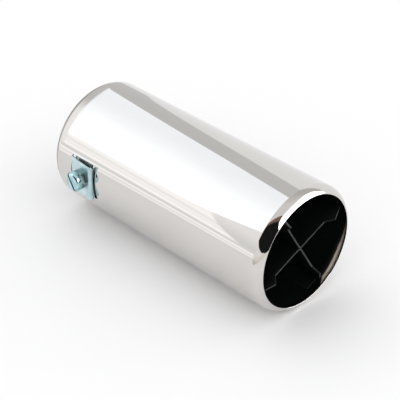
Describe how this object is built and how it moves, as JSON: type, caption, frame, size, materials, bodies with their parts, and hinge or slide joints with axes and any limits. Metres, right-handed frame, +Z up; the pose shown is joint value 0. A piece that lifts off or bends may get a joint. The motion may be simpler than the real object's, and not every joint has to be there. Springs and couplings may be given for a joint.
{
  "type": "exhaust tip",
  "caption": "Bolt-on exhaust tip: a polished tube with both ends drawn in, a black sheet-metal cross inside the outlet and a zinc-plated screw clamp near the inlet.",
  "frame": {"origin": "on the tube's axis, at the plane of the inlet's edge", "axes": "+X along the tube's axis from inlet to outlet, +Z up with the tube lying as in the picture, the clamp on the -Y side"},
  "size_m": [0.17, 0.085, 0.076],
  "materials": {
    "polished_steel": "mirror polished outside, black inside",
    "zinc_plate": "bluish zinc plating",
    "black_paint": "satin black"
  },
  "bodies": {
    "tip": {"outer_tube": "polished_steel", "clamp_bracket": "zinc_plate", "clamp_nut": "zinc_plate", "upper_cross_strip": "black_paint", "lower_cross_strip": "black_paint"},
    "screw": {"clamp_screw": "zinc_plate"}
  },
  "joints": [
    {"name": "clamp_screw_travel", "type": "slide", "parent": "tip", "child": "screw", "axis": [-0.0784, -0.9969, 0], "range_m": [0, 0.018]}
  ]
}
